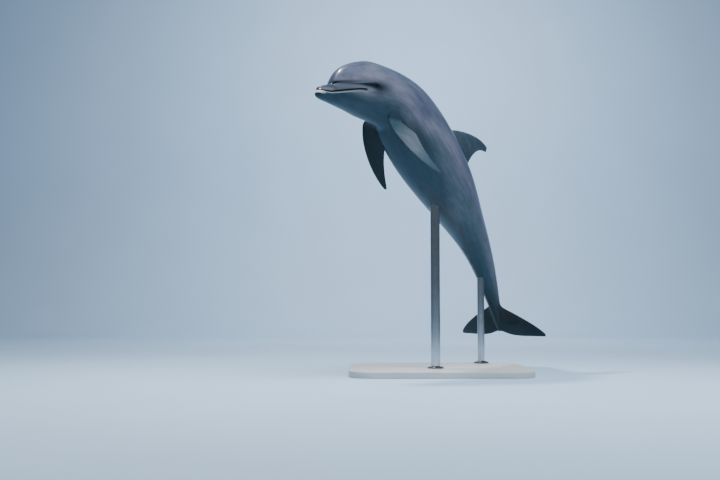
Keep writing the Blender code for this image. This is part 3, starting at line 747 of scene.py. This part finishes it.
def add_markings(skin):
    """Store the straight place, the markings and the painted light and shade of each point, for
    the skin's finish.
    """
    mesh = skin.data
    lips, fins = (skin.vertex_groups[name].index for name in ("lips", "fins"))
    marks = {name: [] for name in ("tone", "shade", "pale", "fin", "mouth_groove_shade")}
    for v in mesh.vertices:
        weights = {g.group: g.weight for g in v.groups}
        line = weights.get(lips, 0.0) if v.co.x < 0.30 else 0.0
        fin = weights.get(fins, 0.0)
        outer = fin if v.co.x < FLUKES_FROM else 0.0
        # On a flipper, only the outer face takes the painted lighter tone
        if v.co.z < 0.0:
            outer *= outer_face(v.co, v.normal)
        marks["tone"].append(tone(v.co, outer))
        marks["shade"].append(shade(v.co))
        marks["pale"].append(pale(v.co, line))
        marks["fin"].append(dark_fins_and_flipper_shade(v.co, v.normal, fin))
        # Painted shade in the groove of the mouth line
        marks["mouth_groove_shade"].append(bell(1.0 - line, 0.30) * (1.0 - ease(v.co.x, 0.256, 0.270)))
    places = [number for v in mesh.vertices for number in v.co]
    mesh.attributes.new("lay", "FLOAT_VECTOR", "POINT").data.foreach_set("vector", places)
    for name, values in marks.items():
        mesh.attributes.new(name, "FLOAT", "POINT").data.foreach_set("value", values)


# ---------------------------------------------------------------------------
# The leap
# ---------------------------------------------------------------------------
def turn(axis, angle):
    """A turn about an axis, in radians."""
    return Matrix.Rotation(angle, 3, axis)


def bend_rate(place):
    """How fast the spine twists, bends down and bends sideways at a place, per metre."""
    rate = Vector((0.0, 0.0, 0.0))
    for start, stop, down, sideways, twist in BENDS:
        share = (place - start) / (stop - start)
        if 0.0 < share < 1.0:
            swell = (1.0 - math.cos(2.0 * math.pi * share)) / (stop - start)
            rate += swell * Vector([math.radians(a) for a in (twist, down, sideways)])
    return rate


def spine():
    """Places and directions along the bent spine, one for each step."""
    roll, pitch, heading = (math.radians(angle) for angle in HEADING)
    here = Vector((0.0, 0.0, 0.0))
    way = turn("Z", heading) @ turn("Y", pitch) @ turn("X", roll)
    line = [(here, way)]
    for i in range(1, round(SPINE_END / SPINE_STEP) + 1):
        rate = (bend_rate(i * SPINE_STEP) + bend_rate((i - 1) * SPINE_STEP)) / 2
        after = way @ turn(rate.normalized(), rate.length * SPINE_STEP)
        here = here + (way.col[0] + after.col[0]) / 2 * SPINE_STEP
        way = after
        line.append((here, way))
    return line


SPINE = spine()


def leap(point, flipper=0.0):
    """Carry a point to its place in the leap; flipper is how much it goes with a flipper."""
    point = Vector(point)
    if flipper > 0.0:
        side = 1.0 if point.y > 0 else -1.0
        lift, swing, twist = (math.radians(a) for a in FLIPPER_SWING[side])
        pivot = Vector((SHOULDER.x, SHOULDER.y * side, SHOULDER.z))
        moved = pivot + turn("X", lift * side) @ turn("Y", swing) @ turn("Z", twist * side) @ (
            point - pivot)
        point = point.lerp(moved, flipper)
    place = min(max(point.x, 0.0), SPINE_END - SPINE_STEP)
    place = place * (1.0 - flipper) + SHOULDER.x * flipper
    step = min(int(place / SPINE_STEP), len(SPINE) - 2)
    share = place / SPINE_STEP - step
    (here, way), (there, way_on) = SPINE[step], SPINE[step + 1]
    off = Vector((point.x - place, point.y, point.z))
    return HEAD_PLACE + here.lerp(there, share) + (way @ off).lerp(way_on @ off, share)


def pose_skin(skin):
    """Bend the straight skin into the leap."""
    flipper = skin.vertex_groups["flipper"].index
    for v in skin.data.vertices:
        weights = {g.group: g.weight for g in v.groups}
        v.co = leap(v.co, weights.get(flipper, 0.0))


def make_skin():
    """One skin over all the flesh, in the leap."""
    skin = straight_skin()
    divide_small_areas(skin)
    model_small_forms(skin)
    add_markings(skin)
    pose_skin(skin)
    skin.vertex_groups.clear()
    for name in ("row", "ring", "level"):
        skin.data.attributes.remove(skin.data.attributes[name])
    bpy.context.view_layer.objects.active = skin
    bpy.ops.object.select_all(action="DESELECT")
    skin.select_set(True)
    bpy.ops.object.mode_set(mode="EDIT")
    face_out()
    end()
    bpy.ops.object.shade_smooth()
    skin.data.materials.append(skin_finish())
    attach(skin, "root")
    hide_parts(*FLESH)


# ---------------------------------------------------------------------------
# Eyes
# ---------------------------------------------------------------------------
def make_eye(side, name):
    """An eyeball with a slightly raised front, looking out, a little ahead and down."""
    front = EYE_RADIUS * 0.80
    x, y, z = EYE
    centre = leap((x, y * side, z))
    look = (leap((x - 0.2, (y + 1.0) * side, z - 0.1)) - centre).normalized()
    bpy.ops.object.select_all(action="DESELECT")
    bpy.ops.mesh.primitive_uv_sphere_add(segments=48, ring_count=32, radius=EYE_RADIUS)
    begin(name)
    pick("VERT", lambda v: v.co.z > front)
    bpy.ops.transform.resize(value=(1.0, 1.0, 1.04), center_override=(0.0, 0.0, front))
    eyeball = end()
    lay = eyeball.data.attributes.new("lay", "FLOAT_VECTOR", "POINT")
    for v in eyeball.data.vertices:
        lay.data[v.index].vector = v.co
    facing = look.to_track_quat("Z", "Y").to_matrix().to_4x4()
    eyeball.data.transform(Matrix.Translation(centre) @ facing)
    bpy.ops.object.shade_smooth()
    eyeball.data.materials.append(eye_finish())
    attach(eyeball, "root")
    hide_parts("eye_" + name.split("_")[-1])


# ---------------------------------------------------------------------------
# Finishes
# ---------------------------------------------------------------------------
SHARE, UNDER, OVER, BLENDED = 0, 6, 7, 2      # sockets of a Mix node that blends colours
# Scales of the skin's grains along the body, out and up: a low one draws them out
CLOUD_RUN, MOTTLE_RUN = (0.55, 1.0, 1.0), (0.50, 1.0, 1.0)
FOLD_RUN, WATER_RUN = (0.20, 1.0, 1.0), (0.04, 1.0, 1.0)
# Base colours of the wet skin from the belly to the cape: level, colour. The dark teal belly
# end is painted shade; the dark cape at the top end is the skin's own colour.
SKIN_COLOURS_WITH_BELLY_SHADE = (
    (0.02, (0.013, 0.042, 0.062)),
    (0.24, (0.023, 0.049, 0.067)),
    (0.46, (0.069, 0.089, 0.112)),
    (0.72, (0.106, 0.119, 0.163)),
    (0.96, (0.042, 0.054, 0.088)),
)
VIOLET = (0.116, 0.110, 0.158)
# Marks, painted shade and painted highlights over the base colours, in the order in which they
# are laid: dark fins with painted shade on the flippers' inner faces, the eye patch with
# painted shade, the pale jaw tip with painted highlights, painted shade in the mouth groove
MARK_LIGHT_AND_SHADE_COLOURS = (("fin", (0.003, 0.011, 0.014)), ("shade", (0.004, 0.011, 0.018)),
                ("pale", (0.66, 0.65, 0.57)), ("mouth_groove_shade", (0.003, 0.003, 0.004)))
PUPIL = (0.0052, 0.0034)                      # half length and half height
# Colours of the eye from the pupil outwards
EYE_COLOURS = (
    (0.15, (0.002, 0.002, 0.003)),
    (0.22, (0.010, 0.006, 0.004)),
    (0.46, (0.014, 0.009, 0.006)),
    (0.62, (0.004, 0.004, 0.005)),
    (0.90, (0.010, 0.010, 0.012)),
)


class Finish:
    """A material put together node by node."""

    def __init__(self, name, roughness, metallic=0.0, colour=(0.5, 0.5, 0.5)):
        self.material = bpy.data.materials.new(name)
        self.material.use_nodes = True
        self.tree = self.material.node_tree
        self.shader = self.tree.nodes["Principled BSDF"]
        self.shader.inputs["Roughness"].default_value = roughness
        self.shader.inputs["Metallic"].default_value = metallic
        self.shader.inputs["Base Color"].default_value = (*colour, 1.0)

    def add(self, kind, inputs=None, **settings):
        """One node; inputs are numbers, colours or the outputs of other nodes."""
        node = self.tree.nodes.new("ShaderNode" + kind)
        for key, value in settings.items():
            setattr(node, key, value)
        for key, value in (inputs or {}).items():
            if isinstance(value, bpy.types.NodeSocket):
                self.tree.links.new(value, node.inputs[key])
            else:
                node.inputs[key].default_value = value
        return node

    def link(self, output, name):
        """Drive one of the shader's inputs."""
        self.tree.links.new(output, self.shader.inputs[name])

    def lay(self):
        """The place of a point on the straight animal, stored with the mesh."""
        return self.add("Attribute", attribute_name="lay").outputs["Vector"]

    def marking(self, name):
        """How much of a marking, painted shade or painted highlight a point has, stored with
        the mesh.
        """
        return self.add("Attribute", attribute_name=name).outputs["Fac"]

    def calc(self, kind, a, b):
        """Work one number out from two."""
        return self.add("Math", {0: a, 1: b}, operation=kind).outputs[0]

    def blend(self, share, under, over, kind="MIX"):
        """Lay one colour over another; the lower one comes from a node."""
        node = self.add("Mix", {SHARE: share, UNDER: under}, data_type="RGBA", blend_type=kind)
        if isinstance(over, bpy.types.NodeSocket):
            self.tree.links.new(over, node.inputs[OVER])
        else:
            node.inputs[OVER].default_value = (*over, 1.0)
        return node.outputs[BLENDED]

    def ramp(self, share, stops):
        """Colours for a number, from stops of level and colour."""
        node = self.add("ValToRGB", {"Fac": share})
        marks = node.color_ramp.elements
        while len(marks) < len(stops):
            marks.new(0.5)
        for mark, (place, colour) in zip(marks, stops):
            mark.position = place
            mark.color = (*colour, 1.0)
        return node.outputs["Color"]

    def greys(self, share, low, high, start=0.3, stop=0.7):
        """A ramp between two greys."""
        return self.ramp(share, ((start, grey(low)), (stop, grey(high))))

    def grain(self, place, scale, detail=4.0, stretch=None):
        """A noise, drawn out along the body or the piece where stretch says so."""
        if stretch:
            place = self.add("Mapping", {"Vector": place, "Scale": stretch}).outputs["Vector"]
        return self.add("TexNoise", {"Vector": place, "Scale": scale, "Detail": detail,
                                     "Roughness": 0.55}).outputs["Fac"]

    def bump(self, height, strength, distance, under=None):
        """Relief, over another one where there is one."""
        inputs = {"Height": height, "Strength": strength, "Distance": distance}
        if under is not None:
            inputs["Normal"] = under
        return self.add("Bump", inputs).outputs["Normal"]


def grey(value):
    """A grey as a colour."""
    return (value, value, value)


def skin_finish():
    """Wet skin: dark cape, blue-grey flanks, softly mottled and streaked along the body, with
    painted shade on the belly, in the creases and on the flippers' inner faces, and patches of
    painted light.
    """
    f = Finish("wet dolphin skin", 0.27)
    lay = f.lay()
    cloud = f.grain(lay, 7.0, 4.0, CLOUD_RUN)
    mottle = f.grain(lay, 34.0, 2.0, MOTTLE_RUN)
    streak = f.grain(lay, 60.0, 1.5, WATER_RUN)
    drift = f.calc("MULTIPLY", f.calc("SUBTRACT", cloud, 0.5), 0.46)
    level = f.calc("ADD", f.marking("tone"), drift)
    # Colour from the ramp; its dark belly end is painted shade
    colour = f.ramp(level, SKIN_COLOURS_WITH_BELLY_SHADE)
    violet = f.ramp(level, ((0.50, grey(0.0)), (0.70, grey(0.5)), (0.90, grey(0.0))))
    colour = f.blend(violet, colour, VIOLET)
    fleck = f.greys(mottle, 0.86, 1.12, 0.25, 0.75)
    colour = f.blend(1.0, colour, fleck, "MULTIPLY")
    water = f.greys(streak, 0.85, 1.16, 0.25, 0.75)
    colour = f.blend(1.0, colour, water, "MULTIPLY")
    # Marks, painted shade and painted highlights laid over the base colour
    for name, mark_colour in MARK_LIGHT_AND_SHADE_COLOURS:
        colour = f.blend(f.marking(name), colour, mark_colour)
    f.link(colour, "Base Color")
    wetness = f.calc("ADD", f.calc("MULTIPLY", mottle, 0.5), f.calc("MULTIPLY", streak, 0.5))
    f.link(f.greys(wetness, 0.26, 0.42, 0.25, 0.75), "Roughness")
    relief = f.bump(f.grain(lay, 22.0, 1.0, FOLD_RUN), 0.20, 0.003)
    relief = f.bump(streak, 0.05, 0.001, relief)
    relief = f.bump(f.grain(lay, 420.0, 3.0), 0.08, 0.0004, relief)
    f.link(relief, "Normal")
    f.shader.inputs["Coat Weight"].default_value = 0.22
    f.shader.inputs["Coat Roughness"].default_value = 0.10
    f.shader.inputs["Specular IOR Level"].default_value = 0.12
    return f.material


def eye_finish():
    """Deep brown iris round a dark sideways pupil, clear and wet."""
    f = Finish("dolphin eye", 0.05)
    lay = f.lay()
    parts = f.add("SeparateXYZ", {0: lay})
    wide, high = (f.calc("DIVIDE", parts.outputs[i], size) for i, size in enumerate(PUPIL))
    away = f.calc("ADD", f.calc("MULTIPLY", wide, wide), f.calc("MULTIPLY", high, high))
    thread = f.grain(lay, 900.0, 3.0)
    level = f.calc("ADD", f.calc("MULTIPLY", away, 0.12), f.calc("MULTIPLY", thread, 0.10))
    f.link(f.ramp(level, EYE_COLOURS), "Base Color")
    f.shader.inputs["Coat Weight"].default_value = 0.4
    f.shader.inputs["Coat Roughness"].default_value = 0.02
    return f.material


def rod_finish():
    """Satin steel, brushed round the rod."""
    f = Finish("brushed steel rod", 0.28, 1.0, (0.56, 0.57, 0.58))
    place = f.add("TexCoord").outputs["Object"]
    lines = f.grain(place, 60.0, 4.0, (1.0, 1.0, 22.0))
    f.link(f.greys(lines, 0.13, 0.24), "Roughness")
    tint = f.ramp(f.grain(place, 9.0, 3.0), ((0.3, (0.58, 0.59, 0.60)), (0.7, grey(0.68))))
    f.link(tint, "Base Color")
    f.link(f.bump(lines, 0.04, 0.0003), "Normal")
    return f.material


def base_finish():
    """Satin grey-white paint on board, with a faint roller texture."""
    f = Finish("satin base paint", 0.42, 0.0, (0.55, 0.55, 0.54))
    place = f.add("TexCoord").outputs["Object"]
    wear = f.grain(place, 3.0, 5.0)
    f.link(f.ramp(wear, ((0.3, (0.50, 0.51, 0.51)), (0.7, (0.58, 0.58, 0.57)))), "Base Color")
    f.link(f.greys(f.grain(place, 40.0, 4.0), 0.36, 0.50), "Roughness")
    f.link(f.bump(f.grain(place, 260.0, 3.0), 0.12, 0.0006), "Normal")
    return f.material


def paper_finish():
    """Dull pale blue paper, a little uneven."""
    light = (0.46, 0.64, 0.84)
    dark = tuple(c * 0.96 for c in light)
    f = Finish("pale studio paper", 0.75, 0.0, light)
    place = f.add("TexCoord").outputs["Object"]
    f.link(f.ramp(f.grain(place, 1.2, 3.0), ((0.3, dark), (0.7, light))), "Base Color")
    return f.material


# ---------------------------------------------------------------------------
# Stand
# ---------------------------------------------------------------------------
BASE_CORNER = 0.16
BASE_EDGE, BASE_FOOT_EDGE = 0.006, 0.003      # rounding at the top and at the floor
BELLY_ROD, TAIL_ROD = 0.018, 0.0125           # radii
FLANGE = 0.012                                # thickness of a foot flange
FLANGE_EDGE = 0.002
ROD_FOOT = 0.005                              # the slope between flange and rod
ROD_EDGE = 0.001
SCREW_CIRCLE = 0.038                          # radius, on the flange
SCREW_RADIUS, SCREW_HEAD = 0.0045, 0.0016


def settle(piece, finish, nodes):
    """Normals out, smooth shading, finish, and the CAD nodes that the piece stands for."""
    bpy.context.view_layer.objects.active = piece
    bpy.ops.object.mode_set(mode="EDIT")
    face_out()
    end()
    bpy.ops.object.shade_smooth_by_angle(angle=math.radians(35.0))
    piece.data.materials.append(finish)
    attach(piece, "root")
    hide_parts(*nodes)


def make_base():
    """A flat base: a box with round corners and softened edges."""
    low, high = (Vector(corner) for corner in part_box("stand_base"))
    middle, size = (low + high) / 2, high - low
    bpy.ops.object.select_all(action="DESELECT")
    bpy.ops.mesh.primitive_cube_add(size=1.0, location=middle, scale=size)
    begin("display_base")
    pick("EDGE", lambda e: abs(e.verts[0].co.z - e.verts[1].co.z) > size.z / 2)
    bpy.ops.mesh.bevel(offset=BASE_CORNER, segments=20, profile=0.5)
    pick("EDGE", lambda e: all(v.co.z > high.z - NEAR for v in e.verts)
         and sum(f.normal.z > 0.9 for f in e.link_faces) == 1)
    bpy.ops.mesh.bevel(offset=BASE_EDGE, segments=4, profile=0.5)
    pick("EDGE", lambda e: all(v.co.z < low.z + NEAR for v in e.verts)
         and sum(f.normal.z < -0.9 for f in e.link_faces) == 1)
    bpy.ops.mesh.bevel(offset=BASE_FOOT_EDGE, segments=2, profile=0.5)
    settle(end(), base_finish(), ["stand_base"])


def make_screw(place):
    """A pan-headed screw with a round recess."""
    bpy.ops.object.select_all(action="DESELECT")
    bpy.ops.mesh.primitive_cylinder_add(vertices=24, radius=SCREW_RADIUS, depth=SCREW_HEAD,
                                        location=place)
    begin("screw")
    pick("FACE", lambda f: f.normal.z > 0.9)
    bpy.ops.mesh.inset(thickness=0.0008, depth=0.0004)
    bpy.ops.mesh.inset(thickness=0.0014, depth=0.0)
    bpy.ops.mesh.inset(thickness=0.0001, depth=-0.0014)
    return end()


def make_rod(name, node, radius, steel):
    """A turned rod on a foot flange that is held by four screws."""
    low, high = (Vector(corner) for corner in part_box(node))
    x, y = (low.x + high.x) / 2, (low.y + high.y) / 2
    flange_radius = (high.x - low.x) / 2
    bpy.ops.object.select_all(action="DESELECT")
    bpy.ops.mesh.primitive_cylinder_add(vertices=64, radius=flange_radius, depth=FLANGE,
                                        location=(x, y, low.z + FLANGE / 2))
    begin(name)
    pick("EDGE", lambda e: all(v.co.z > low.z + FLANGE / 2 for v in e.verts))
    bpy.ops.mesh.bevel(offset=FLANGE_EDGE, segments=3, profile=0.5)
    pick("FACE", lambda f: f.normal.z > 0.9)
    bpy.ops.mesh.inset(thickness=flange_radius - FLANGE_EDGE - radius - ROD_FOOT, depth=0.0)
    bpy.ops.mesh.inset(thickness=ROD_FOOT, depth=ROD_FOOT)
    rise = high.z - low.z - (FLANGE + ROD_FOOT)
    bpy.ops.mesh.extrude_region_move(TRANSFORM_OT_translate={"value": (0.0, 0.0, rise)})
    pick("EDGE", lambda e: all(v.co.z > high.z - 1e-4 for v in e.verts))
    bpy.ops.mesh.bevel(offset=ROD_EDGE, segments=2, profile=0.5)
    rod = end()
    screws = []
    for number in range(4):
        angle = math.radians(45.0 + 90.0 * number)
        screws.append(make_screw((x + SCREW_CIRCLE * math.cos(angle),
                                  y + SCREW_CIRCLE * math.sin(angle),
                                  low.z + FLANGE + 0.0006)))
    bpy.ops.object.select_all(action="DESELECT")
    for piece in screws + [rod]:
        piece.select_set(True)
    bpy.context.view_layer.objects.active = rod
    bpy.ops.object.join()
    settle(rod, steel, [node])


# ---------------------------------------------------------------------------
# Studio
# ---------------------------------------------------------------------------
FLOOR_SIZE = 80.0
WALL_PLACE, WALL_HEIGHT = 9.6, 9.0
SWEEP = 2.6               # how far the curve between floor and wall reaches
AIR_LIGHT = (0.096, 0.122, 0.152, 1.0)      # what the room gives to the object
AIR_SEEN = (0.40, 0.50, 0.60, 1.0)          # what shows beyond the wall
# Lamps: name, place, target, size, power, colour, whether the wet skin mirrors it
LAMPS = (
    ("key_from_above", (0.5, -1.8, 4.9), (-0.1, -0.3, 1.4), (2.6, 2.6), 368.0,
     (0.94, 0.97, 1.0), False),
    ("spark_from_left", (-1.7, -0.2, 4.6), (-0.6, -0.6, 1.6), (0.33, 0.33), 185.0,
     (1.0, 0.97, 0.93), True),
    ("fill_from_right", (3.6, -3.4, 2.6), (0.1, -0.2, 1.1), (2.4, 1.6), 68.0,
     (0.90, 0.95, 1.0), False),
    ("wash_on_wall", (0.4, 4.6, 5.2), (0.2, WALL_PLACE, 1.8), (3.6, 1.2), 420.0,
     (0.95, 0.97, 1.0), False),
)
CAMERA_PLACE = (-0.5036, -6.3407, 0.424)
CAMERA_RISE = 0.065       # the camera looks up by this slope


def make_studio():
    """A pale floor that sweeps up into a pale wall."""
    bpy.ops.object.select_all(action="DESELECT")
    bpy.ops.mesh.primitive_plane_add(size=FLOOR_SIZE,
                                     location=(0.0, WALL_PLACE - FLOOR_SIZE / 2, 0.0))
    begin("studio_sweep")
    pick("EDGE", lambda e: all(v.co.y > WALL_PLACE - 0.1 for v in e.verts))
    bpy.ops.mesh.extrude_edges_move(TRANSFORM_OT_translate={"value": (0.0, 0.0, WALL_HEIGHT)})
    pick("EDGE", lambda e: all(abs(v.co.z) < 1e-4 and v.co.y > WALL_PLACE - 0.1
                               for v in e.verts))
    bpy.ops.mesh.bevel(offset=SWEEP, segments=24, profile=0.5)
    sweep = end()
    bpy.ops.object.shade_smooth()
    sweep.data.materials.append(paper_finish())


def make_air():
    """The room's own light: dim on the object, pale to look at."""
    world = bpy.data.worlds.new("studio air")
    world.use_nodes = True
    tree = world.node_tree
    seen = tree.nodes.new("ShaderNodeLightPath").outputs["Is Camera Ray"]
    both = tree.nodes.new("ShaderNodeMix")
    both.data_type = "RGBA"
    both.inputs[UNDER].default_value = AIR_LIGHT
    both.inputs[OVER].default_value = AIR_SEEN
    tree.links.new(seen, both.inputs[SHARE])
    tree.links.new(both.outputs[BLENDED], tree.nodes["Background"].inputs["Color"])
    tree.nodes["Background"].inputs["Strength"].default_value = 1.0
    bpy.context.scene.world = world


def soft_light(name, place, target, size, power, colour, glints):
    """An area lamp; only one that glints is mirrored in the wet skin."""
    light = bpy.data.lights.new(name, "AREA")
    light.shape = "RECTANGLE"
    light.size, light.size_y = size
    light.energy = power
    light.color = colour
    lamp = bpy.data.objects.new(name, light)
    lamp.location = place
    aim = Vector(target) - Vector(place)
    lamp.rotation_euler = aim.to_track_quat("-Z", "Y").to_euler()
    lamp.visible_glossy = glints
    bpy.context.scene.collection.objects.link(lamp)


def make_camera():
    """A camera on the near side, tipped up a little."""
    camera = bpy.data.cameras.new("camera")
    camera.lens = 50.0
    camera.sensor_width = 36.0
    stand = bpy.data.objects.new("camera", camera)
    stand.location = CAMERA_PLACE
    stand.rotation_euler = (math.radians(90.0) + math.atan(CAMERA_RISE), 0.0, 0.0)
    bpy.context.scene.collection.objects.link(stand)
    bpy.context.scene.camera = stand


make_skin()
make_eye(-1.0, "eyeball_left")
make_eye(1.0, "eyeball_right")
make_base()
steel = rod_finish()
make_rod("display_rod_belly", "stand_rod_belly", BELLY_ROD, steel)
make_rod("display_rod_tail", "stand_rod_tail", TAIL_ROD, steel)
make_studio()
make_air()
for lamp in LAMPS:
    soft_light(*lamp)
make_camera()
